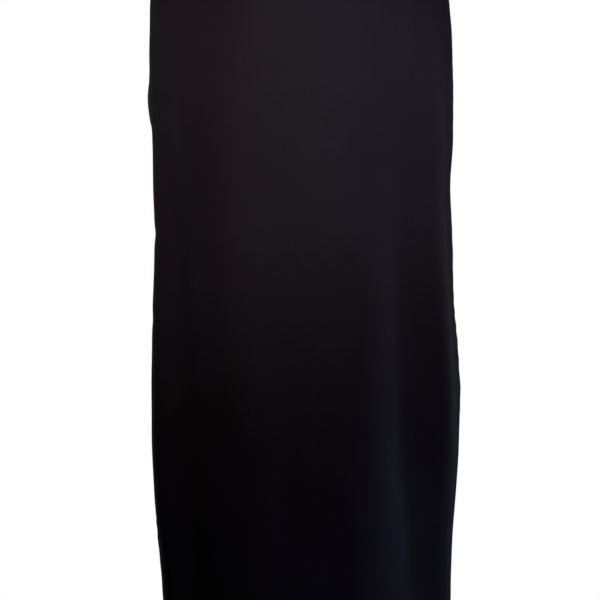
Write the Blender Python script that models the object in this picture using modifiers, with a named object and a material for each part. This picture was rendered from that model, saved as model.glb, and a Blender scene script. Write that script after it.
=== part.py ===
"""A knee-length strapless column dress in black double-knit cloth, filled out as it is worn.

It is hollow, and open at the top edge and at the hem. Metres, +Z up, front towards -Y.
The origin is the middle of the top opening, level with the top edge at centre front.
A turn is an angle round the dress: 0 at centre front, +90 degrees at the +X side seam, 180 at centre back.
Down is the distance below the top edge at centre front.
"""

import math

import bpy
import numpy as np

# Driving sizes
LENGTH = 0.8136
CLOTH = 0.0015
SEAM_GAP = 0.0003
SIDE_DIP = 0.010
BACK_DIP = 0.026

# Cloth turned in along the top edge and the hem, which doubles the wall there
TURNED_DEPTH = 0.030
TURNED_WALL = 2 * CLOTH
TURNED_STEP = 0.001

# The elastic sewn inside the top edge reaches between the inner rows of the turned-in cloth
ELASTIC_THICKNESS = 0.0012

# How finely the cloth is divided: shares of the turned depth, rows between, and columns of one panel
EDGE_ROWS = (0.0, 0.1, 0.5, 0.9, 1.0)
MIDDLE_ROWS = 32
COLUMNS = 31
SIDE_CROWDING = 1.5
SEAM_COLUMN = 0.0020
NORMAL_STEP = 1e-4

CLOTH_COLOUR = (0.016, 0.013, 0.020, 1.0)
CLOTH_ROUGHNESS = 0.8
ELASTIC_COLOUR = (0.022, 0.021, 0.025, 1.0)
ELASTIC_ROUGHNESS = 0.65

# Half widths to each side, depths to the front and back, and how square the section is
SECTION_COLUMNS = ("name", "down", "left", "right", "front", "back", "square")
SECTIONS = (
    ("top edge", 0.0000, 0.1672, 0.1610, 0.104, 0.091, 2.15),
    ("above the bust", 0.0339, 0.1708, 0.1644, 0.112, 0.095, 2.25),
    ("bust", 0.0791, 0.1704, 0.1678, 0.117, 0.097, 2.35),
    ("under bust", 0.1356, 0.1695, 0.1701, 0.1175, 0.095, 2.35),
    ("ribs", 0.1921, 0.1678, 0.1695, 0.1155, 0.090, 2.30),
    ("waist", 0.2486, 0.1661, 0.1662, 0.1125, 0.087, 2.25),
    ("high hip", 0.3051, 0.1648, 0.1686, 0.1110, 0.093, 2.25),
    ("belly", 0.3729, 0.1665, 0.1711, 0.110, 0.106, 2.25),
    ("hip", 0.4746, 0.1690, 0.1777, 0.108, 0.121, 2.20),
    ("seat", 0.5311, 0.1688, 0.1765, 0.105, 0.119, 2.20),
    ("thigh", 0.5989, 0.1663, 0.1712, 0.102, 0.111, 2.20),
    ("low thigh", 0.6441, 0.1630, 0.1676, 0.100, 0.106, 2.20),
    ("above the knee", 0.7119, 0.1574, 0.1658, 0.098, 0.101, 2.20),
    ("hem", 0.8136, 0.1530, 0.1640, 0.096, 0.097, 2.20),
)

# A fold swells and fades along its length as a half sine to this power, a little flatter than the sine itself
SWELL_POWER = 0.8

# Long soft folds: where each starts and ends, its half width, and how far it stands out at each end
FOLD_COLUMNS = ("name", "turn_top", "turn_hem", "down_top", "down_hem", "half_width", "rise_top", "rise_hem")
FOLDS = (
    ("left side groove", -71, -56, -0.06, 0.90, 0.023, -0.0012, -0.0096),
    ("left side ridge", -80, -71, 0.00, 1.00, 0.015, 0.0060, 0.0074),
    ("left thigh ridge", -41, -26, 0.10, 1.00, 0.029, 0.0048, 0.0060),
    ("left side bulge", -89, -91, 0.118, 0.186, 0.022, 0.0052, 0.0052),
    ("right front valley", 44, 68, 0.00, 1.00, 0.028, -0.0102, -0.0090),
    ("right side ridge", 64, 78, 0.00, 1.00, 0.021, 0.0085, 0.0110),
    ("right thigh ridge", 16, 56, 0.20, 1.00, 0.038, 0.0056, 0.0090),
    ("back valley on the right", 124, 129, 0.12, 0.92, 0.022, -0.0026, -0.0054),
    ("back valley on the left", -122, -131, 0.16, 0.92, 0.022, -0.0028, -0.0048),
    ("small of the back", 180, 178, 0.10, 0.35, 0.030, -0.0040, -0.0030),
    ("back skirt ridge", 163, 158, 0.50, 0.96, 0.030, 0.0010, 0.0056),
    ("back skirt hollow", -170, -168, 0.54, 0.96, 0.026, -0.0010, -0.0046),
)


def column(table, names, wanted):
    """One named column of a table, as an array of numbers."""
    place = names.index(wanted)
    return np.array([row[place] for row in table], float)


def smooth_line(at, places, values):
    """Values at the given places on a smooth curve through a table: a cubic between each two rows."""
    slopes = np.gradient(values, places)
    at = np.clip(at, places[0], places[-1])
    row = np.clip(np.searchsorted(places, at, side="right") - 1, 0, len(places) - 2)
    span = places[row + 1] - places[row]
    t = (at - places[row]) / span
    start = (2 * t**3 - 3 * t**2 + 1) * values[row] + (t**3 - 2 * t**2 + t) * span * slopes[row]
    end = (3 * t**2 - 2 * t**3) * values[row + 1] + (t**3 - t**2) * span * slopes[row + 1]
    return start + end


def section_size(name, down):
    """A named size of the dress's section at each height."""
    places = column(SECTIONS, SECTION_COLUMNS, "down")
    return smooth_line(down, places, column(SECTIONS, SECTION_COLUMNS, name))


def fold_rise(turn, down, radius):
    """How far all the folds together move the cloth outwards, each a bell across and a swell along."""
    total = np.zeros(np.broadcast(turn, down).shape)
    for _, turn_top, turn_hem, down_top, down_hem, half_width, rise_top, rise_hem in FOLDS:
        along = np.clip((down - down_top) / (down_hem - down_top), 0, 1)
        middle = np.radians(turn_top + (turn_hem - turn_top) * along)
        apart = (turn - middle + math.pi) % (2 * math.pi) - math.pi
        across = np.exp(-((apart * radius / half_width) ** 2))
        swell = np.sin(math.pi * along) ** SWELL_POWER
        total += (rise_top + (rise_hem - rise_top) * along) * across * swell
    return total


def outside(turn, down):
    """Points on the outside of the cloth: a squared ellipse at each height, moved out by the folds."""
    side, ahead = np.sin(turn), np.cos(turn)
    wide = np.where(side < 0, section_size("left", down), section_size("right", down))
    deep = np.where(ahead > 0, section_size("front", down), section_size("back", down))
    square = section_size("square", down)
    radius = ((np.abs(side) / wide) ** square + (np.abs(ahead) / deep) ** square) ** (-1 / square)
    x, y = radius * side, -radius * ahead
    out_x = np.sign(x) * np.abs(x) ** (square - 1) / wide**square
    out_y = np.sign(y) * np.abs(y) ** (square - 1) / deep**square
    rise = fold_rise(turn, down, radius) / np.hypot(out_x, out_y)
    return np.stack([x + rise * out_x, y + rise * out_y, -down], axis=-1)


def under_outside(turn, down, depth):
    """Points that lie that deep under the outside, along its normal."""
    round_it = outside(turn + NORMAL_STEP, down) - outside(turn - NORMAL_STEP, down)
    downward = outside(turn, down + NORMAL_STEP) - outside(turn, down - NORMAL_STEP)
    normal = np.cross(downward, round_it)
    return outside(turn, down) - depth * normal / np.linalg.norm(normal, axis=-1, keepdims=True)


def top_edge(turn):
    """How far down the top edge lies: level across the front, lower at the sides, lowest at centre back."""
    behind = (1 - np.cos(turn)) / 2
    return SIDE_DIP * np.sin(turn) ** 2 + BACK_DIP * behind**2


def panel_turns(middle):
    """Turns of a panel's columns from seam to seam: closer where the section bends more and at the seams."""
    seam = math.pi / 2 - SEAM_GAP / (2 * section_size("front", LENGTH))
    narrow = SEAM_COLUMN / section_size("front", LENGTH)
    even = np.linspace(-1, 1, COLUMNS) * (seam - narrow)
    crowded = np.arctan2(SIDE_CROWDING * np.sin(even), np.cos(even))
    crowded *= (seam - narrow) / crowded[-1]
    return math.radians(middle) + np.concatenate([[-seam], crowded, [seam]])


def panel_rows(turns):
    """(down, turned) for the points of a panel, where turned is 1 on turned-in cloth and 0 on single cloth."""
    edge = TURNED_DEPTH * np.array(EDGE_ROWS)[:, None]
    top = top_edge(turns)[None, :]
    first, last = top + TURNED_DEPTH + TURNED_STEP, LENGTH - TURNED_DEPTH - TURNED_STEP
    middle = first + (last - first) * np.linspace(0, 1, MIDDLE_ROWS)[:, None]
    down = np.concatenate([top + edge, middle, LENGTH - edge[::-1] + 0 * top])
    turned = np.ones_like(down)
    turned[len(EDGE_ROWS) : -len(EDGE_ROWS)] = 0
    return down, turned


def cloth_surface(name, points, material, closed=False):
    """An open sheet over a grid of points, with its faces outwards. A closed one joins its last column to its first."""
    rows, columns = points.shape[:2]
    row, place = np.meshgrid(np.arange(rows - 1), np.arange(columns - (not closed)), indexing="ij")
    after = (place + 1) % columns
    corners = (row * columns + place, (row + 1) * columns + place, (row + 1) * columns + after, row * columns + after)
    mesh = bpy.data.meshes.new(name)
    mesh.from_pydata(points.reshape(-1, 3).tolist(), [], np.stack(corners, axis=-1).reshape(-1, 4).tolist())
    mesh.shade_smooth()
    mesh.materials.append(material)
    sheet = bpy.data.objects.new(name, mesh)
    bpy.data.collections["strapless_dress"].objects.link(sheet)
    return sheet


def give_thickness(sheet, thickness):
    """Gives a sheet its wall, all of it inwards."""
    wall = sheet.modifiers.new("wall", "SOLIDIFY")
    wall.thickness = thickness
    wall.offset = -1
    return wall


def panel(name, middle, material):
    """A panel from one side seam to the other, with doubled walls along its top edge and hem."""
    turns = panel_turns(middle)
    down, turned = panel_rows(turns)
    sheet = cloth_surface(name, outside(turns[None, :] + 0 * down, down), material)
    doubled = sheet.vertex_groups.new(name="turned_in")
    doubled.add(np.flatnonzero(turned).tolist(), 1.0, "REPLACE")
    wall = give_thickness(sheet, TURNED_WALL)
    wall.vertex_group = doubled.name
    wall.thickness_vertex_group = CLOTH / TURNED_WALL
    return sheet


def elastic_ring(name, material):
    """The elastic band: a closed ring that lies against the turned-in cloth, under the panels' own points."""
    turns = np.concatenate([panel_turns(0), panel_turns(180)])
    rows = TURNED_DEPTH * np.array(EDGE_ROWS[1:-1])[:, None]
    down = top_edge(turns)[None, :] + rows
    points = under_outside(turns[None, :] + 0 * down, down, TURNED_WALL + SEAM_GAP)
    sheet = cloth_surface(name, points, material, closed=True)
    give_thickness(sheet, ELASTIC_THICKNESS)
    return sheet


def plain_material(name, colour, roughness):
    """A matt finish in one colour."""
    material = bpy.data.materials.new(name)
    material.use_nodes = True
    shader = material.node_tree.nodes["Principled BSDF"]
    shader.inputs["Base Color"].default_value = colour
    shader.inputs["Roughness"].default_value = roughness
    shader.inputs["Metallic"].default_value = 0.0
    return material


def main():
    for old in list(bpy.data.objects):
        bpy.data.objects.remove(old)
    dress = bpy.data.collections.new("strapless_dress")
    bpy.context.scene.collection.children.link(dress)
    knit = plain_material("black_double_knit", CLOTH_COLOUR, CLOTH_ROUGHNESS)
    panel("front_panel", 0, knit)
    panel("back_panel", 180, knit)
    elastic_ring("top_elastic", plain_material("black_elastic", ELASTIC_COLOUR, ELASTIC_ROUGHNESS))


main()
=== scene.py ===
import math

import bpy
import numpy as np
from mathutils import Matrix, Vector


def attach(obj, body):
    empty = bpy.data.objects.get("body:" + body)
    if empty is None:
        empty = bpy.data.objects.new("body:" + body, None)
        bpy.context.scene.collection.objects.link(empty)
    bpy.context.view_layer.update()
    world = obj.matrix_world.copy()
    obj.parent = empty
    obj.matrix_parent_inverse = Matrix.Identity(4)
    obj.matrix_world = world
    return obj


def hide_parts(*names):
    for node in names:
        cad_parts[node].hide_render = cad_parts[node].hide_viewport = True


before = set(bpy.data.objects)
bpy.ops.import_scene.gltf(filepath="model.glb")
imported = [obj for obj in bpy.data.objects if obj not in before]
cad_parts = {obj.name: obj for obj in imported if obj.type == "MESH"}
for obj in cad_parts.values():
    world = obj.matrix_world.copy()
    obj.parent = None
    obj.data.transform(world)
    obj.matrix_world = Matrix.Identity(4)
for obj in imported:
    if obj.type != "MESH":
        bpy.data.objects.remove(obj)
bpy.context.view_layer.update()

# Looks of a strapless column dress in black double-knit cloth, filled out as it is worn.
# Metres, +Z up, front towards -Y. A turn is an angle round the dress: 0 at centre front and
# +90 degrees at the +X side seam. Down is the distance below the top edge at centre front.

# Sizes of the dress
LENGTH = 0.8136
SIDE_DIP = 0.010
BACK_DIP = 0.026
CLOTH = 0.0012
LAYER_GAP = 0.0001
TURNED_DEPTH = 0.0285
SEAM_GAP = 0.0002
SEAM_ROLL = 0.0016
SEAM_RADIUS = 0.165
NORMAL_STEP = 1e-4

# Faint waves of the top edge and of the hem: each one's height, how many go round and where it starts
TOP_WAVES = ((0.0004, 9, 0.6), (0.0003, 23, 2.0))
HEM_WAVES = ((0.0006, 7, 1.2), (0.0004, 19, 0.3))
HEM_RAISED = 0.0006

# Columns of a panel: even ones, crowded where the section bends more, then some close to each seam
EVEN_COLUMNS = 140
EVEN_TURN = 87
COLUMN_CROWDING = 1.4
LAST_EVEN_FROM_SEAM = 0.0080
COLUMNS_FROM_SEAM = (0.0062, 0.0046, 0.0034, 0.0025, 0.0018, 0.0012, 0.0007, 0.0003, 0.0)

# Rows of a panel: even ones, then some close to each edge, finest under the stitches
EVEN_ROWS = 215
EVEN_FROM_EDGE = 0.0300
ROWS_UNDER_STITCHES = (0.0275, 0.0265, 0.0255, 0.0245, 0.0235, 0.0225, 0.0215, 0.0205)
ROWS_FROM_EDGE = (0.016, 0.012, 0.008, 0.004, 0.0015)
FOLDED_EDGE_ROWS = 8

# Puckers along the stitched edges: wide and fine ones, crowded in places, from a start at each edge
PUCKERS_ROUND = 61
FINE_PUCKERS_ROUND = 97
FINE_PUCKER_SHARE = 0.6
PUCKER_CROWDING = 1.4
PUCKER_CROWDS_ROUND = 7
PUCKER_HEIGHT = 0.00022
PUCKER_REACH = 0.030
TOP_PUCKER_START = 0.0
HEM_PUCKER_START = 1.9

# The groove that each stitch row presses in
STITCH_GROOVE_DEPTH = 0.00028
STITCH_GROOVE_WIDTH = 0.0010

# Puckers beside the side seams. Their spacing and strength vary along the seam, each over its own length.
SEAM_PUCKER_HEIGHT = 0.00042
SEAM_PUCKER_REACH = 0.013
SEAM_PUCKER_SPACING = 0.021
SEAM_PUCKER_CROWDING = 2.2
SEAM_CROWDING_LENGTH = 0.130
SEAM_STRENGTH_SWING = 0.4
SEAM_STRENGTH_LENGTH = 0.310
SEAM_PUCKER_STARTS = ((math.pi / 2, 0.0), (-math.pi / 2, 2.1))

# Twin rows of stitching, measured from the edges
STITCH_ROWS = (0.0215, 0.0270)
STITCH_LENGTH = 0.0031
STITCH_SHARE = 0.82
STITCHED_WIDTH = 0.43
STITCH_CROWDING = 0.68
STITCH_TURN = 89
LAST_STITCH_TURN = 88.8
THREAD_RADIUS = 0.00024
THREAD_TAPER = 0.75
THREAD_ARCH = 1.1
THREAD_SUNK = 0.55
THREAD_RINGS = 5
THREAD_SIDES = 6

# The elastic inside the top edge
ELASTIC_FROM_EDGE = 0.003
ELASTIC_WIDTH = 0.024
ELASTIC_THICKNESS = 0.0012
ELASTIC_RIBS = 12
ELASTIC_RIB_HEIGHT = 0.00012
ELASTIC_RIB_ROWS = 5
ELASTIC_COLUMNS = 220

# The cloth sewn together inside each side seam
ALLOWANCE_WIDTH = 0.009
ALLOWANCE_THICKNESS = 0.0020
ALLOWANCE_CLEAR = 0.0003
ALLOWANCE_TOP = 0.052
ALLOWANCE_ABOVE_HEM = 0.034
ALLOWANCE_WAVE_HEIGHT = 0.0003
ALLOWANCE_WAVE_LENGTH = 0.047
ALLOWANCE_ACROSS = (0.0, 0.15, 0.35, 0.6, 0.8, 1.0)
ALLOWANCE_ROWS = 150
OVERLOCK_WIDTH = 0.0045
OVERLOCK_STEP = 0.0030
OVERLOCK_SLANT = 0.45
OVERLOCK_INSET = 0.002

# Half widths to each side, depths to the front and back, and how square the section is
SECTION_COLUMNS = ("name", "down", "left", "right", "front", "back", "square")
SECTIONS = (
    ("top edge", 0.0000, 0.1672, 0.1610, 0.104, 0.091, 2.15),
    ("above the bust", 0.0339, 0.1708, 0.1644, 0.112, 0.095, 2.25),
    ("bust", 0.0791, 0.1704, 0.1678, 0.117, 0.097, 2.35),
    ("under bust", 0.1356, 0.1695, 0.1701, 0.1175, 0.095, 2.35),
    ("ribs", 0.1921, 0.1678, 0.1695, 0.1155, 0.090, 2.30),
    ("waist", 0.2486, 0.1661, 0.1662, 0.1125, 0.087, 2.25),
    ("high hip", 0.3051, 0.1648, 0.1686, 0.1110, 0.093, 2.25),
    ("belly", 0.3729, 0.1665, 0.1711, 0.110, 0.106, 2.25),
    ("hip", 0.4746, 0.1690, 0.1777, 0.108, 0.121, 2.20),
    ("seat", 0.5311, 0.1688, 0.1765, 0.105, 0.119, 2.20),
    ("thigh", 0.5989, 0.1663, 0.1712, 0.102, 0.111, 2.20),
    ("low thigh", 0.6441, 0.1630, 0.1676, 0.100, 0.106, 2.20),
    ("above the knee", 0.7119, 0.1574, 0.1658, 0.098, 0.101, 2.20),
    ("hem", 0.8136, 0.1530, 0.1640, 0.096, 0.097, 2.20),
)

# Long soft folds: where each starts and ends, its half width, and how far it stands out at each end
SWELL_POWER = 0.8
FOLD_COLUMNS = (
    "name", "turn_top", "turn_hem", "down_top", "down_hem", "half_width", "rise_top", "rise_hem",
)
FOLDS = (
    ("left side groove", -71, -56, -0.06, 0.90, 0.023, -0.0012, -0.0096),
    ("left side ridge", -80, -71, 0.00, 1.00, 0.015, 0.0060, 0.0074),
    ("left thigh ridge", -41, -26, 0.10, 1.00, 0.029, 0.0048, 0.0060),
    ("left side bulge", -89, -91, 0.118, 0.186, 0.022, 0.0052, 0.0052),
    ("right front valley", 44, 68, 0.00, 1.00, 0.028, -0.0102, -0.0090),
    ("right side ridge", 64, 78, 0.00, 1.00, 0.021, 0.0085, 0.0110),
    ("right thigh ridge", 16, 56, 0.20, 1.00, 0.038, 0.0056, 0.0090),
    ("back valley on the right", 124, 129, 0.12, 0.92, 0.022, -0.0026, -0.0054),
    ("back valley on the left", -122, -131, 0.16, 0.92, 0.022, -0.0028, -0.0048),
    ("small of the back", 180, 178, 0.10, 0.35, 0.030, -0.0040, -0.0030),
    ("back skirt ridge", 163, 158, 0.50, 0.96, 0.030, 0.0010, 0.0056),
    ("back skirt hollow", -170, -168, 0.54, 0.96, 0.026, -0.0010, -0.0046),
)

# Creases and troughs: the middle of each, its length and half width, its lean from upright in degrees,
# and how far it stands out. BOW is how far each bows at its ends, as a share of its length.
BOW = 0.04
CREASE_COLUMNS = ("name", "turn", "down", "length", "half_width", "lean", "rise")
CREASES = (
    ("front drag line above the waist", 22, 0.205, 0.110, 0.0080, 84, -0.0004),
    ("front drag line below the waist", 20, 0.281, 0.130, 0.0090, 87, -0.0005),
    ("front pinch, upper stroke", 31, 0.3455, 0.026, 0.0034, 62, -0.0009),
    ("front pinch, lower stroke", 31, 0.3615, 0.022, 0.0032, 118, -0.0008),
    ("drag line from the left bulge", -66, 0.160, 0.080, 0.0080, 66, -0.0014),
    ("ridge under that drag line", -62, 0.182, 0.070, 0.0080, 68, 0.0009),
    ("left armhole drag line", -50, 0.052, 0.090, 0.0100, 38, -0.0012),
    ("right armhole drag line", 52, 0.060, 0.100, 0.0110, -34, -0.0013),
    ("soft line under the belly", -6, 0.428, 0.170, 0.0160, 92, -0.0003),
    ("left flank trough, high", -64, 0.150, 0.280, 0.0230, 3, -0.0016),
    ("left flank trough, low", -61, 0.400, 0.560, 0.0250, 3, -0.0052),
    ("upright line in that trough", -56, 0.330, 0.300, 0.0110, 3, -0.0007),
    ("left thigh hollow", -38, 0.610, 0.300, 0.0170, -3, -0.0014),
    ("centre skirt ridge", 7, 0.640, 0.330, 0.0190, 3, 0.0006),
    ("centre skirt hollow", 19, 0.660, 0.260, 0.0170, 2, -0.0006),
    ("right flank line", 78, 0.330, 0.090, 0.0080, 58, -0.0011),
    ("right hip line", 82, 0.440, 0.110, 0.0090, 70, -0.0010),
    ("left flank line", -80, 0.300, 0.080, 0.0080, -60, -0.0012),
    ("left hip line", -84, 0.400, 0.120, 0.0100, -72, -0.0009),
    ("back waist fold, top", 166, 0.198, 0.250, 0.0090, 79, -0.0013),
    ("back waist fold, middle", -176, 0.236, 0.330, 0.0115, 94, -0.0024),
    ("back waist ridge", 178, 0.256, 0.300, 0.0100, 91, 0.0014),
    ("back waist fold, low", 162, 0.281, 0.270, 0.0115, 98, -0.0019),
    ("back right drag line", 138, 0.312, 0.170, 0.0100, 58, -0.0018),
    ("back left drag line", -140, 0.322, 0.190, 0.0105, -56, -0.0020),
    ("line under the seat, right", 150, 0.590, 0.120, 0.0110, 80, -0.0016),
    ("line under the seat, left", -154, 0.602, 0.100, 0.0100, -82, -0.0013),
    ("back shoulder-blade line", -160, 0.080, 0.110, 0.0100, -50, -0.0010),
    ("back skirt upright crease", 141, 0.690, 0.230, 0.0130, -4, -0.0016),
    ("back skirt upright ridge", -150, 0.700, 0.210, 0.0130, 3, 0.0014),
)

# Faint unevenness over the whole cloth: a sum of low waves in seeded directions, more across than along
UNEVEN_WAVES = 20
UNEVEN_LENGTHS = (0.040, 0.150)
UNEVEN_WAY = (1.0, 1.0, 0.7)
UNEVEN_HEIGHT = 0.00013
UNEVEN_SEED = 11

# Camera: the photograph's frame in real size at the dress's side seams
FRAME_HEIGHT = 0.678
FRAME_MIDDLE_DOWN = 0.3729
FRAME_MIDDLE_X = -0.0028
LENS = 100.0
SENSOR = 36.0

# The floor lies where a wearer would stand. It is whole up to its inner radius, and gone near its rim.
FLOOR_DOWN = 1.28
FLOOR_RADIUS = 2.6
FLOOR_INNER_RADIUS = 0.9
FLOOR_GONE_RADIUS = 2.5
FLOOR_SIDES = 64
FLOOR_COLOUR = (0.86, 0.86, 0.87, 1)
FLOOR_GLOW = 0.75

# Light: the lamps' radius, and how bright the surround is to the dress, where the camera sees it white
SPOT_RADIUS = 0.15
DIM_SURROUND = 0.0195

# Knit in the bump: the width and height of a stitch, how steep its legs are and their share of the
# height. Then the width and height of the elastic's weave.
WALE = 0.00095
COURSE = 0.00080
LEG_SLOPE = 1.3
LEG_SHARE = 0.6
ELASTIC_THREAD = 0.0011
ELASTIC_WEAVE = 0.0020

# Noise on the cloth: its stretch, its lumps to a metre, its detail and its roughness
STREAKS = ((1, 0.22, 1), 260, 3.0, 0.6)
CLOUDS = ((1, 0.6, 1), 14, 2.0, 0.5)
MOTTLE = ((1, 0.8, 1), 48, 3.0, 0.6)
ELASTIC_WEAR = ((1, 1, 1), 90, 2.0, 0.5)

# The share of each noise in the knit's colour, and what is taken off to keep the sum near a half
STREAKS_SHARE = 0.3
CLOUDS_SHARE = 0.4
MOTTLE_SHARE = 1.2
SHARE_OFF = 0.45

# The darkest and the lightest colour of each material
KNIT_COLOURS = ((0.0088, 0.0056, 0.0104), (0.0164, 0.0106, 0.0194))
WRONG_SIDE_COLOURS = ((0.0080, 0.0070, 0.0095), (0.0150, 0.0130, 0.0170))
ELASTIC_COLOURS = ((0.014, 0.013, 0.016), (0.030, 0.029, 0.033))
THREAD_COLOURS = ((0.012, 0.012, 0.015), (0.028, 0.027, 0.032))


# Shape of the worn dress


def column(table, names, wanted):
    """One named column of a table, as an array of numbers."""
    place = names.index(wanted)
    return np.array([row[place] for row in table], float)


def smooth_line(at, places, values):
    """A cubic between each two rows of a table, with each row's slope taken from its neighbours."""
    slopes = np.gradient(values, places)
    at = np.clip(at, places[0], places[-1])
    row = np.clip(np.searchsorted(places, at, side="right") - 1, 0, len(places) - 2)
    span = places[row + 1] - places[row]
    t = (at - places[row]) / span
    start = (2 * t**3 - 3 * t**2 + 1) * values[row] + (t**3 - 2 * t**2 + t) * span * slopes[row]
    end = (3 * t**2 - 2 * t**3) * values[row + 1] + (t**3 - t**2) * span * slopes[row + 1]
    return start + end


def section_size(name, down):
    """A named size of the dress's section at each height."""
    places = column(SECTIONS, SECTION_COLUMNS, "down")
    return smooth_line(down, places, column(SECTIONS, SECTION_COLUMNS, name))


def turn_apart(turn, middle):
    """The signed angle from the middle to the turn, between -180 and 180 degrees."""
    return (turn - middle + math.pi) % (2 * math.pi) - math.pi


def named_rows(table, names):
    """The rows of a table, each as a dictionary of its named columns."""
    return [dict(zip(names, row)) for row in table]


def fold_rise(turn, down, radius):
    """The long folds: each a bell across and a half sine, a little flattened, along."""
    total = np.zeros(np.broadcast(turn, down).shape)
    for fold in named_rows(FOLDS, FOLD_COLUMNS):
        along = np.clip((down - fold["down_top"]) / (fold["down_hem"] - fold["down_top"]), 0, 1)
        middle = np.radians(fold["turn_top"] + (fold["turn_hem"] - fold["turn_top"]) * along)
        across = np.exp(-((turn_apart(turn, middle) * radius / fold["half_width"]) ** 2))
        rise = fold["rise_top"] + (fold["rise_hem"] - fold["rise_top"]) * along
        total += rise * across * np.sin(math.pi * along) ** SWELL_POWER
    return total


def crease_rise(turn, down, radius):
    """The creases: each a bell across its bowed line and the square of a parabola along it."""
    total = np.zeros(np.broadcast(turn, down).shape)
    for crease in named_rows(CREASES, CREASE_COLUMNS):
        sideways = turn_apart(turn, math.radians(crease["turn"])) * radius
        below = down - crease["down"]
        cos, sin = math.cos(math.radians(crease["lean"])), math.sin(math.radians(crease["lean"]))
        along = (below * cos + sideways * sin) / (crease["length"] / 2)
        bow = BOW * crease["length"] * along**2
        across = (sideways * cos - below * sin + bow) / crease["half_width"]
        total += crease["rise"] * np.exp(-(across**2)) * np.clip(1 - along**2, 0, None) ** 2
    return total


def uneven_rise(place):
    """A sum of low sine waves through space, each of its own seeded direction and length."""
    random = np.random.default_rng(UNEVEN_SEED)
    total = np.zeros(place.shape[:-1])
    for _ in range(UNEVEN_WAVES):
        length = random.uniform(*UNEVEN_LENGTHS)
        way = random.normal(size=3) * UNEVEN_WAY
        phase = random.uniform(0, 2 * math.pi)
        reached = place @ (way / np.linalg.norm(way))
        total += UNEVEN_HEIGHT * np.sin(2 * math.pi / length * reached + phase)
    return total


def outside(turn, down):
    """Points on the outside: a squared ellipse at each height, moved out by the folds and creases."""
    side, ahead = np.sin(turn), np.cos(turn)
    wide = np.where(side < 0, section_size("left", down), section_size("right", down))
    deep = np.where(ahead > 0, section_size("front", down), section_size("back", down))
    square = section_size("square", down)
    radius = ((np.abs(side) / wide) ** square + (np.abs(ahead) / deep) ** square) ** (-1 / square)
    x, y = radius * side, -radius * ahead
    out_x = np.sign(x) * np.abs(x) ** (square - 1) / wide**square
    out_y = np.sign(y) * np.abs(y) ** (square - 1) / deep**square
    rise = fold_rise(turn, down, radius) + crease_rise(turn, down, radius)
    rise = rise / np.hypot(out_x, out_y)
    return np.stack([x + rise * out_x, y + rise * out_y, -down], axis=-1)


def outward(turn, down):
    """Unit vectors that point out of the cloth: the cross product of the downward and sideways steps."""
    round_it = outside(turn + NORMAL_STEP, down) - outside(turn - NORMAL_STEP, down)
    downward = outside(turn, down + NORMAL_STEP) - outside(turn, down - NORMAL_STEP)
    normal = np.cross(downward, round_it)
    return normal / np.linalg.norm(normal, axis=-1, keepdims=True)


def edge_wave(turn, waves):
    """A sum of sine waves round the dress."""
    return sum(height * np.sin(count * turn + start) for height, count, start in waves)


def top_edge(turn):
    """How far down the top edge lies: lower at the sides and the back, with a faint wave."""
    behind = (1 - np.cos(turn)) / 2
    return SIDE_DIP * np.sin(turn) ** 2 + BACK_DIP * behind**2 + edge_wave(turn, TOP_WAVES)


def hem_edge(turn):
    """How far down the hem lies: level, with a faint wave."""
    return LENGTH + edge_wave(turn, HEM_WAVES) - HEM_RAISED


def edge_relief(turn, from_edge, start):
    """Relief near a stitched edge: puckers that fade away from it, and a groove under each stitch row.

    The puckers are a sine of uneven spacing and a finer, lower one. Puckers and grooves are bells across.
    """
    crowding = PUCKER_CROWDING * np.sin(PUCKER_CROWDS_ROUND * turn)
    wide = np.sin(PUCKERS_ROUND * turn + start + crowding)
    fine = FINE_PUCKER_SHARE * np.sin(FINE_PUCKERS_ROUND * turn + 2 * start)
    relief = PUCKER_HEIGHT * (wide + fine) * np.exp(-((from_edge / PUCKER_REACH) ** 2))
    for row in STITCH_ROWS:
        relief -= STITCH_GROOVE_DEPTH * np.exp(-(((from_edge - row) / STITCH_GROOVE_WIDTH) ** 2))
    return relief


def seam_relief(turn, down):
    """Puckers beside each side seam: sines whose spacing and strength vary along it, in a bell across."""
    relief = np.zeros(np.broadcast(turn, down).shape)
    along = 2 * math.pi * down
    for seam, start in SEAM_PUCKER_STARTS:
        away = turn_apart(turn, seam) * SEAM_RADIUS
        crowding = SEAM_PUCKER_CROWDING * np.sin(along / SEAM_CROWDING_LENGTH + start)
        puckers = np.sin(along / SEAM_PUCKER_SPACING + crowding + start)
        swing = SEAM_STRENGTH_SWING * np.sin(along / SEAM_STRENGTH_LENGTH + start)
        strength = 1 - SEAM_STRENGTH_SWING + swing
        relief += SEAM_PUCKER_HEIGHT * strength * puckers * np.exp(-((away / SEAM_PUCKER_REACH) ** 2))
    return relief


def cloth_points(turn, down, depth):
    """Points that deep under the cloth's outside, after its fine relief."""
    surface = outside(turn, down)
    top_relief = edge_relief(turn, down - top_edge(turn), TOP_PUCKER_START)
    hem_relief = edge_relief(turn, hem_edge(turn) - down, HEM_PUCKER_START)
    relief = uneven_rise(surface) + seam_relief(turn, down) + (top_relief + hem_relief)
    return surface + outward(turn, down) * (relief - depth)[..., None]


# Meshes


def mesh_piece(name, points, faces, material):
    """A piece from points and faces, smooth, at the origin, riding on the one body."""
    mesh = bpy.data.meshes.new(name)
    mesh.from_pydata(points.reshape(-1, 3).tolist(), [], faces)
    mesh.shade_smooth()
    mesh.materials.append(material)
    piece = bpy.data.objects.new(name, mesh)
    bpy.context.scene.collection.objects.link(piece)
    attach(piece, "root")
    return piece


def grid_faces(rows, columns, closed=False):
    """Four-sided faces over a grid, facing out where rows run down and columns run towards +turn."""
    row, place = np.meshgrid(np.arange(rows - 1), np.arange(columns - (not closed)), indexing="ij")
    after = (place + 1) % columns
    here, below = row * columns, (row + 1) * columns
    faces = np.stack([here + place, below + place, below + after, here + after], axis=-1)
    return faces.reshape(-1, 4).tolist()


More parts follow.
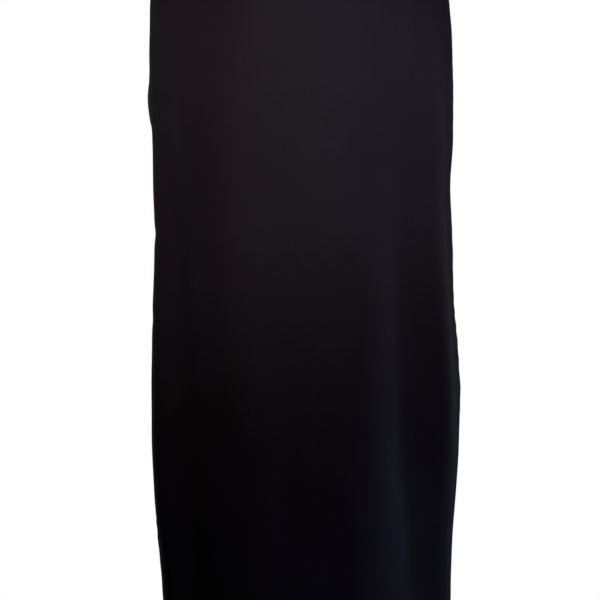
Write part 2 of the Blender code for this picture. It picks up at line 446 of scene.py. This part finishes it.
def set_cloth_uv(piece, points, closed=False):
    """A UV map in metres: the distance along each row and down each column of the grid."""
    across = np.linalg.norm(np.diff(points, axis=1), axis=-1)
    along = np.linalg.norm(np.diff(points, axis=0), axis=-1)
    u = np.concatenate([np.zeros((points.shape[0], 1)), np.cumsum(across, axis=1)], axis=1)
    u = u - u[:, [points.shape[1] // 2]]
    v = np.concatenate([np.zeros((1, points.shape[1])), np.cumsum(along, axis=0)], axis=0)
    flat = np.stack([u, -v], axis=-1).reshape(-1, 2)
    mesh = piece.data
    corners = np.empty(len(mesh.loops), np.int32)
    mesh.loops.foreach_get("vertex_index", corners)
    layer = mesh.uv_layers.new(name="cloth")
    layer.data.foreach_set("uv", flat[corners].astype(np.float32).ravel())


def give_wall(piece, thickness):
    """Thickness for an open sheet, half of it on each side."""
    wall = piece.modifiers.new("wall", "SOLIDIFY")
    wall.thickness = thickness
    wall.offset = 0.0


def seam_turn():
    """The turn from the middle of a panel to its edge, half a seam gap short of a quarter turn."""
    return math.pi / 2 - SEAM_GAP / 2 / SEAM_RADIUS


def crowded_turns(count, reach, crowding, last):
    """Turns from -last to last: even steps to the reach, with their tangents times the crowding."""
    even = np.linspace(-1, 1, count) * math.radians(reach)
    crowded = np.arctan2(crowding * np.sin(even), np.cos(even))
    return crowded * (last / crowded[-1])


def panel_turns(middle):
    """Turns of a panel's columns: crowded where the section bends more, and fine at the seams."""
    seam = seam_turn()
    edge = seam - np.array(COLUMNS_FROM_SEAM) / SEAM_RADIUS
    last = seam - LAST_EVEN_FROM_SEAM / SEAM_RADIUS
    crowded = crowded_turns(EVEN_COLUMNS, EVEN_TURN, COLUMN_CROWDING, last)
    return math.radians(middle) + np.concatenate([-edge[::-1], crowded, edge])


def panel_path():
    """Rows of a panel from the raw edge of its top turn-in to that of its hem.

    Each row has a share of the way from the top edge to the hem, an offset down from there and a depth.
    Both edges are half circles that lead from the outer layer to the turned-in one.
    """
    outer = CLOTH / 2
    inner = outer + CLOTH + LAYER_GAP
    radius = (inner - outer) / 2
    arc = np.linspace(0, math.pi, FOLDED_EDGE_ROWS)
    fold = np.stack([0 * arc, radius * (1 - np.sin(arc)), outer + radius * (1 + np.cos(arc))], axis=1)
    turn_in = np.array([TURNED_DEPTH, *ROWS_UNDER_STITCHES, *ROWS_FROM_EDGE])
    inside = np.stack([0 * turn_in, turn_in, inner + 0 * turn_in], axis=1)
    near_edge = turn_in[1:][::-1]
    start = np.stack([0 * near_edge, near_edge, outer + 0 * near_edge], axis=1)
    share = np.linspace(0, 1, EVEN_ROWS)
    middle = np.stack([share, EVEN_FROM_EDGE * (1 - 2 * share), outer + 0 * share], axis=1)
    top_half = np.concatenate([inside, fold, start])
    hem_half = top_half[::-1] * np.array([1, -1, 1]) + np.array([1, 0, 0])
    return np.concatenate([top_half, middle, hem_half])


def seam_depth(turn, middle):
    """How much deeper the cloth lies where it rolls into a side seam: a quarter circle."""
    away = (seam_turn() - np.abs(turn - math.radians(middle))) * SEAM_RADIUS
    into = np.clip(1 - away / SEAM_ROLL, 0, 1)
    return SEAM_ROLL * (1 - np.sqrt(1 - into**2))


def make_panel(name, middle, node, material):
    """A panel of cloth from side seam to side seam, turned in along its top edge and hem."""
    turn = panel_turns(middle)[None, :]
    share, offset, depth = panel_path().T[:, :, None]
    down = top_edge(turn) * (1 - share) + hem_edge(turn) * share + offset
    points = cloth_points(turn + 0 * down, down, depth + seam_depth(turn, middle))
    piece = mesh_piece(name, points, grid_faces(*points.shape[:2]), material)
    set_cloth_uv(piece, points)
    give_wall(piece, CLOTH)
    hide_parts(node)
    return piece


def make_elastic(material):
    """The ribbed elastic: a closed ring against the turned-in cloth, with low round ribs along it."""
    turn = np.linspace(0, 2 * math.pi, ELASTIC_COLUMNS + 1)[None, :-1]
    across = np.linspace(0, 1, ELASTIC_RIBS * ELASTIC_RIB_ROWS + 1)[:, None]
    down = top_edge(turn) + ELASTIC_FROM_EDGE + ELASTIC_WIDTH * across
    ribs = ELASTIC_RIB_HEIGHT * np.abs(np.sin(math.pi * ELASTIC_RIBS * across))
    depth = 2 * CLOTH + 3 * LAYER_GAP + ELASTIC_THICKNESS / 2 + ribs
    points = cloth_points(turn + 0 * down, down, depth + 0 * down)
    faces = grid_faces(*points.shape[:2], closed=True)
    piece = mesh_piece("elastic", points, faces, material)
    set_cloth_uv(piece, points)
    give_wall(piece, ELASTIC_THICKNESS)
    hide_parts("top_elastic")


def make_allowance(name, side, material):
    """The sewn edges inside a side seam: a strip against the back panel, with a faint wave."""
    across = np.array(ALLOWANCE_ACROSS)[None, :]
    share = np.linspace(0, 1, ALLOWANCE_ROWS)[:, None]
    down = ALLOWANCE_TOP + (LENGTH - ALLOWANCE_ABOVE_HEM - ALLOWANCE_TOP) * share + 0 * across
    turn = side * (math.pi / 2 + across * ALLOWANCE_WIDTH / SEAM_RADIUS) + 0 * share
    lift = ALLOWANCE_WAVE_HEIGHT * np.sin(2 * math.pi * down / ALLOWANCE_WAVE_LENGTH) * across
    depth = CLOTH + ALLOWANCE_THICKNESS / 2 + ALLOWANCE_CLEAR + lift
    points = cloth_points(turn, down, depth)
    points = points if side > 0 else points[:, ::-1]
    piece = mesh_piece(name, points, grid_faces(*points.shape[:2]), material)
    set_cloth_uv(piece, points)
    give_wall(piece, ALLOWANCE_THICKNESS)


# Thread


def thread_bars(name, start, end, normal, radius, material):
    """Stitches as one mesh: each a round bar from start to end, thinner and lower towards its ends.

    Both follow the root of 1 less the taper times the fourth power of the way from its middle.
    """
    rings, sides = THREAD_RINGS, THREAD_SIDES
    along = np.linspace(0, 1, rings)[None, :, None, None]
    angle = np.linspace(0, 2 * math.pi, sides + 1)[None, None, :-1, None]
    way = end - start
    forward = way / np.linalg.norm(way, axis=-1, keepdims=True)
    beside = np.cross(forward, normal)
    start, way, beside, up = (v[:, None, None, :] for v in (start, way, beside, normal))
    swell = np.sqrt(1 - THREAD_TAPER * (2 * along - 1) ** 4)
    centre = start + way * along + up * radius * (THREAD_ARCH * swell - THREAD_SUNK)
    points = centre + radius * swell * (beside * np.cos(angle) + up * np.sin(angle))
    ring, place = np.meshgrid(np.arange(rings - 1), np.arange(sides), indexing="ij")
    after = (place + 1) % sides
    here, beyond = ring * sides, (ring + 1) * sides
    bar = np.stack([here + place, here + after, beyond + after, beyond + place], axis=-1)
    caps = [list(range(sides))[::-1], list(range((rings - 1) * sides, rings * sides))]
    first = np.arange(len(points))[:, None, None] * rings * sides
    quads = (first + bar.reshape(1, -1, 4)).reshape(-1, 4).tolist()
    ends = [(np.array(cap)[None, :] + first[:, :, 0]).tolist() for cap in caps]
    return mesh_piece(name, points, quads + ends[0] + ends[1], material)


def stitch_turns(middle):
    """About even steps round a panel, one for each stitch, kept just clear of the seams."""
    count = int(round(STITCHED_WIDTH / STITCH_LENGTH))
    last = math.radians(LAST_STITCH_TURN)
    return math.radians(middle) + crowded_turns(count + 1, STITCH_TURN, STITCH_CROWDING, last)


def edge_places(turn, edge, from_edge):
    """How far down a stitch row lies, at the same distance from the top edge or from the hem."""
    return top_edge(turn) + from_edge if edge == "top" else hem_edge(turn) - from_edge


def needle_rows(name, edge, material):
    """Twin rows of straight stitches on the outside, along one edge of both panels."""
    starts, ends = [], []
    for middle in (0, 180):
        turn = stitch_turns(middle)
        for row in STITCH_ROWS:
            first, last = turn[:-1], turn[:-1] + (turn[1:] - turn[:-1]) * STITCH_SHARE
            starts.append(np.stack([first, edge_places(first, edge, row)], axis=1))
            ends.append(np.stack([last, edge_places(last, edge, row)], axis=1))
    return bars_on_cloth(name, np.concatenate(starts), np.concatenate(ends), 0.0, 1, material)


def looper_rows(name, edge, depth, material):
    """The zigzag of thread on the inside, which links the two needle rows along one edge."""
    starts, ends = [], []
    for middle in (0, 180):
        turn = stitch_turns(middle)
        half = (turn[:-1] + turn[1:]) / 2
        for first, last in ((turn[:-1], half), (half, turn[1:])):
            order = STITCH_ROWS if first is not half else STITCH_ROWS[::-1]
            starts.append(np.stack([first, edge_places(first, edge, order[0])], axis=1))
            ends.append(np.stack([last, edge_places(last, edge, order[1])], axis=1))
    return bars_on_cloth(name, np.concatenate(starts), np.concatenate(ends), depth, -1, material)


def overlock_row(name, side, material):
    """The overlock thread inside a side seam: slanting bars across the strip's free edge."""
    top, bottom = ALLOWANCE_TOP + OVERLOCK_INSET, LENGTH - ALLOWANCE_ABOVE_HEM - OVERLOCK_INSET
    down = np.arange(top, bottom, OVERLOCK_STEP)
    outer = side * (math.pi / 2 + ALLOWANCE_WIDTH / SEAM_RADIUS)
    inner = side * (math.pi / 2 + (ALLOWANCE_WIDTH - OVERLOCK_WIDTH) / SEAM_RADIUS)
    start = np.stack([inner + 0 * down, down], axis=1)
    end = np.stack([outer + 0 * down, down + OVERLOCK_STEP * OVERLOCK_SLANT], axis=1)
    depth = CLOTH + ALLOWANCE_THICKNESS + ALLOWANCE_CLEAR
    return bars_on_cloth(name, start, end, depth, -1, material)


def bars_on_cloth(name, starts, ends, depth, way_up, material):
    """Thread bars between (turn, down) places, that deep under the outside. way_up is -1 on the inside."""
    first = cloth_points(starts[:, 0], starts[:, 1], depth + 0 * starts[:, 0])
    last = cloth_points(ends[:, 0], ends[:, 1], depth + 0 * ends[:, 0])
    normal = way_up * outward(starts[:, 0], starts[:, 1])
    return thread_bars(name, first, last, normal, THREAD_RADIUS, material)


# Materials


class Signal:
    """A number in a shader, or a vector or colour. Arithmetic on a number adds Math nodes."""

    def __init__(self, paint, socket):
        self.paint, self.socket = paint, socket

    def math(self, operation, *values):
        """The signal of a new Math node."""
        return self.paint.add("ShaderNodeMath", {"operation": operation}, dict(enumerate(values)))

    def __add__(self, other):
        return self.math("ADD", self, other)

    def __sub__(self, other):
        return self.math("SUBTRACT", self, other)

    def __rsub__(self, other):
        return self.math("SUBTRACT", other, self)

    def __mul__(self, other):
        return self.math("MULTIPLY", self, other)

    def sine(self):
        """The sine of this number, in radians."""
        return self.math("SINE", self)

    def size(self):
        """This number without its sign."""
        return self.math("ABSOLUTE", self)

    def rest(self):
        """What is left of this number above the whole number below it."""
        return self.math("FRACT", self)

    __radd__, __rmul__ = __add__, __mul__


class Paint:
    """The nodes of one material."""

    def __init__(self, name):
        self.material = bpy.data.materials.new(name)
        self.material.use_nodes = True
        self.tree = self.material.node_tree
        self.shader = self.tree.nodes["Principled BSDF"]

    def put(self, node, key, value):
        """Links a signal to a node's socket, or sets the socket to a constant."""
        socket = node.inputs[key]
        if isinstance(value, Signal):
            self.tree.links.new(value.socket, socket)
        else:
            socket.default_value = value

    def add(self, kind, settings, values, output=0):
        """The signal of any new node: its settings first, then its sockets' values or links."""
        node = self.tree.nodes.new(kind)
        for key, value in settings.items():
            setattr(node, key, value)
        for key, value in values.items():
            self.put(node, key, value)
        return Signal(self, node.outputs[output])

    def set(self, **values):
        """Values or signals for the shader's sockets."""
        for key, value in values.items():
            self.put(self.shader, key.replace("_", " "), value)

    def cloth_place(self, stretch):
        """The cloth's own UV map in metres, stretched by (across, along, 1)."""
        place = self.add("ShaderNodeUVMap", {"uv_map": "cloth"}, {})
        return self.add("ShaderNodeMapping", {}, {"Vector": place, "Scale": stretch})

    def noise(self, place, scale, detail, roughness):
        """Fractal noise from 0 to 1, with that many lumps to a unit of its place."""
        values = {"Vector": place, "Scale": scale, "Detail": detail, "Roughness": roughness}
        return self.add("ShaderNodeTexNoise", {}, values)

    def cloth_noise(self, stretch, scale, detail, roughness):
        """Noise that lies on the cloth's own UV map."""
        return self.noise(self.cloth_place(stretch), scale, detail, roughness)

    def parts(self, vector):
        """The three numbers of a vector."""
        node = self.tree.nodes.new("ShaderNodeSeparateXYZ")
        self.tree.links.new(vector.socket, node.inputs[0])
        return [Signal(self, node.outputs[i]) for i in range(3)]

    def tint(self, share, low, high):
        """A colour between low and high, by a share from 0 to 1."""
        values = {0: share, 6: (*low, 1), 7: (*high, 1)}
        return self.add("ShaderNodeMix", {"data_type": "RGBA"}, values, output=2)

    def bump(self, height, strength, distance):
        """A normal tilted by the slope of a height, of which 1 stands for that distance in metres."""
        values = {"Strength": strength, "Distance": distance, "Height": height}
        return self.add("ShaderNodeBump", {}, values)


def knit_height(paint):
    """The face of a fine double knit: a column of small Vs for each wale, as a height from 0 to about 1.

    The Vs are a sine along the wale that starts later away from its middle, on two rounded ridges.
    """
    u, v, _ = paint.parts(paint.cloth_place((1, 1, 1)))
    across = (u * (1 / WALE)).rest() - 0.5
    slope = across.size() * LEG_SLOPE
    legs = ((v * (1 / COURSE) + slope) * (2 * math.pi)).sine() * 0.5 + 0.5
    ridge = (across.size() * (2 * math.pi)).sine().size()
    return legs * LEG_SHARE * ridge + ridge * (1 - LEG_SHARE)


def double_knit(name, low, high):
    """Matt black double knit: fine Vs in its bump, faint streaks, clouds and mottle, and a soft nap."""
    paint = Paint(name)
    streaks = paint.cloth_noise(*STREAKS)
    uneven = streaks * STREAKS_SHARE + paint.cloth_noise(*CLOUDS) * CLOUDS_SHARE
    uneven = uneven + paint.cloth_noise(*MOTTLE) * MOTTLE_SHARE - SHARE_OFF
    paint.set(Base_Color=paint.tint(uneven, low, high))
    paint.set(Roughness=0.56 + streaks * 0.16)
    height = knit_height(paint) * 0.5 + streaks
    paint.set(Normal=paint.bump(height, 0.35, 0.00018), Specular_IOR_Level=0.20)
    paint.set(Sheen_Weight=0.05, Sheen_Roughness=0.35, Sheen_Tint=(0.85, 0.85, 1.0, 1))
    return paint.material


def ribbed_elastic():
    """Woven elastic: fine cross threads in its bump between the modelled ribs."""
    paint = Paint("elastic_black")
    u, v, _ = paint.parts(paint.cloth_place((1, 1, 1)))
    threads = (u * (2 * math.pi / ELASTIC_THREAD)).sine() * (v * (2 * math.pi / ELASTIC_WEAVE)).sine()
    worn = paint.cloth_noise(*ELASTIC_WEAR)
    paint.set(Base_Color=paint.tint(worn, *ELASTIC_COLOURS))
    paint.set(Roughness=0.50 + worn * 0.2)
    paint.set(Normal=paint.bump(threads * 0.5 + 0.5, 0.5, 0.0002))
    paint.set(Specular_IOR_Level=0.3)
    return paint.material


def sewing_thread():
    """Black polyester thread: a little glossier than the cloth, with the twist of its plies."""
    paint = Paint("thread_black")
    place = paint.add("ShaderNodeTexCoord", {}, {}, 3)
    plies = paint.noise(place, 2400, 1.0, 0.5)
    paint.set(Base_Color=paint.tint(plies, *THREAD_COLOURS))
    paint.set(Roughness=0.42 + plies * 0.2, Specular_IOR_Level=0.4)
    return paint.material


def floor_material():
    """A pale matt floor that fades into the white surround towards its rim."""
    paint = Paint("floor_pale")
    place = paint.add("ShaderNodeTexCoord", {}, {}, 3)
    x, y, _ = paint.parts(place)
    away = paint.add("ShaderNodeMath", {"operation": "SQRT"}, {0: x * x + y * y})
    ends = {"From Min": FLOOR_INNER_RADIUS, "From Max": FLOOR_GONE_RADIUS, "To Min": 1.0, "To Max": 0.0}
    fade = {"interpolation_type": "SMOOTHSTEP"}
    shown = paint.add("ShaderNodeMapRange", fade, {"Value": away, **ends})
    paint.set(Base_Color=FLOOR_COLOUR, Roughness=0.9, Alpha=shown, Specular_IOR_Level=0.1)
    paint.set(Emission_Color=FLOOR_COLOUR, Emission_Strength=FLOOR_GLOW)
    return paint.material


# Stage


def make_floor():
    """A pale disc well below the hem, at the height of the ground under a worn dress."""
    turn = np.linspace(0, 2 * math.pi, FLOOR_SIDES + 1)[:-1]
    x, y = FLOOR_RADIUS * np.cos(turn), FLOOR_RADIUS * np.sin(turn)
    rim = np.stack([x, y, -FLOOR_DOWN + 0 * turn], axis=1)
    mesh = bpy.data.meshes.new("floor")
    mesh.from_pydata(rim.tolist(), [], [list(range(FLOOR_SIDES))])
    mesh.materials.append(floor_material())
    floor = bpy.data.objects.new("floor", mesh)
    floor.visible_diffuse = False
    floor.visible_glossy = False
    bpy.context.scene.collection.objects.link(floor)


def aim(thing, place, target):
    """Puts a light or camera at a place, looking at the target."""
    thing.location = place
    thing.rotation_euler = (Vector(target) - Vector(place)).to_track_quat("-Z", "Y").to_euler()


def add_light(kind, name, place, target, power, colour):
    """A light of one kind at a place, aimed at the target, with its power in watts."""
    lamp = bpy.data.lights.new(name, kind)
    lamp.energy = power
    lamp.color = colour
    thing = bpy.data.objects.new(name, lamp)
    bpy.context.scene.collection.objects.link(thing)
    aim(thing, place, target)
    return lamp


def soft_spot(name, place, target, angle, power, colour):
    """A round lamp whose light fades from the middle of its cone to the cone's edge."""
    lamp = add_light("SPOT", name, place, target, power, colour)
    lamp.spot_size = math.radians(angle)
    lamp.spot_blend = 1.0
    lamp.shadow_soft_size = SPOT_RADIUS


def strip_light(name, place, target, size, power, colour, spread=180):
    """A soft rectangular light, size (width, height) in metres."""
    lamp = add_light("AREA", name, place, target, power, colour)
    lamp.shape = "RECTANGLE"
    lamp.size, lamp.size_y = size
    lamp.spread = math.radians(spread)


def make_lights():
    """Lamps in front that fade below the hips, others for the skirt and the edges, and lamps behind."""
    soft_spot("left_key", (-0.42, -1.55, 0.10), (-0.02, -0.08, -0.16), 32, 21.0, (1.0, 0.70, 0.40))
    soft_spot("right_key", (0.80, -1.39, 0.10), (0, -0.08, -0.15), 24, 24.0, (0.77, 0.72, 1.0))
    soft_spot("middle_key", (0, -1.60, 0.10), (0, -0.08, -0.15), 22, 13.4, (0.56, 0.77, 1.0))
    soft_spot("top_lamp", (0, -1.60, 0.40), (0, -0.10, 0.02), 36, 3.2, (0.73, 0.86, 1.0))
    soft_spot("low_lamp", (0, -1.60, -0.60), (0, -0.08, -0.66), 26, 0.9, (1.0, 0.84, 0.64))
    soft_spot("right_skirt", (1.20, -1.10, -0.60), (0.08, -0.08, -0.68), 22, 18.4, (0.52, 0.57, 1.0))
    soft_spot("right_side", (1.54, -0.42, 0.10), (0.10, -0.06, -0.10), 32, 14.6, (0.75, 0.80, 1.0))
    soft_spot("right_rim", (1.55, 0.41, -0.30), (0.14, -0.03, -0.32), 24, 8.5, (1.0, 0.90, 0.95))
    soft_spot("right_low_rim", (1.55, 0.41, -0.60), (0.14, -0.03, -0.62), 24, 14.0, (0.49, 0.61, 1.0))
    pink = (0.98, 0.80, 0.95)
    strip_light("left_top", (-1.16, -0.31, 0.05), (-0.12, -0.06, -0.05), (0.25, 0.4), 0.180, pink, 60)
    strip_light("left_edge", (-0.90, 0.60, -0.38), (-0.12, 0.0, -0.38), (0.3, 1.2), 0.50, (1.0, 0.92, 0.95))
    soft_spot("high_front", (0, -1.20, 1.25), (0, 0.07, -0.04), 10, 45, (0.95, 0.97, 1.0))
    soft_spot("high_back", (0, 1.20, 1.25), (0, -0.08, -0.05), 11, 45, (0.95, 0.97, 1.0))
    soft_spot("back_lamp", (-0.35, 1.7, 0.45), (0, 0.10, -0.20), 50, 36, (0.98, 0.95, 1.0))


def make_world():
    """White to the camera, and a dim even light on the dress."""
    world = bpy.data.worlds.new("white_surround")
    bpy.context.scene.world = world
    world.use_nodes = True
    tree = world.node_tree
    seen = tree.nodes.new("ShaderNodeLightPath").outputs["Is Camera Ray"]
    strength = tree.nodes.new("ShaderNodeMapRange")
    tree.links.new(seen, strength.inputs["Value"])
    strength.inputs["To Min"].default_value = DIM_SURROUND
    strength.inputs["To Max"].default_value = 1.0
    background = tree.nodes["Background"]
    background.inputs["Color"].default_value = (1, 1, 1, 1)
    tree.links.new(strength.outputs[0], background.inputs["Strength"])
    bpy.context.scene.view_settings.view_transform = "Standard"


def make_camera():
    """Level with the middle of the photograph's frame, straight in front."""
    lens = bpy.data.cameras.new("camera")
    lens.lens, lens.sensor_width = LENS, SENSOR
    camera = bpy.data.objects.new("camera", lens)
    bpy.context.scene.collection.objects.link(camera)
    away = FRAME_HEIGHT * LENS / SENSOR
    aim(camera, (FRAME_MIDDLE_X, -away, -FRAME_MIDDLE_DOWN), (FRAME_MIDDLE_X, 0, -FRAME_MIDDLE_DOWN))
    bpy.context.scene.camera = camera


def make_dress():
    """Both panels, the elastic, the sewn edges inside and all the thread."""
    knit = double_knit("knit_black", *KNIT_COLOURS)
    wrong_side = double_knit("knit_black_inside", *WRONG_SIDE_COLOURS)
    thread = sewing_thread()
    front = make_panel("front_cloth", 0, "front_panel", knit)
    back = make_panel("back_cloth", 180, "back_panel", knit)
    make_elastic(ribbed_elastic())
    for side, word in ((1, "right"), (-1, "left")):
        make_allowance(f"{word}_seam_allowance", side, wrong_side)
        overlock_row(f"{word}_overlock", side, thread)
    stitching = [needle_rows(f"{edge}_needle_rows", edge, thread) for edge in ("top", "hem")]
    on_elastic = 2 * CLOTH + 3 * LAYER_GAP + ELASTIC_THICKNESS + ELASTIC_RIB_HEIGHT
    looper_rows("top_looper_rows", "top", on_elastic, thread)
    looper_rows("hem_looper_rows", "hem", 2 * CLOTH + LAYER_GAP, thread)


def clear_startup():
    """Removes the objects that a new scene starts with."""
    for name in ("Cube", "Light", "Camera"):
        if name in bpy.data.objects:
            bpy.data.objects.remove(bpy.data.objects[name])


clear_startup()
make_camera()
make_world()
make_lights()
make_floor()
make_dress()
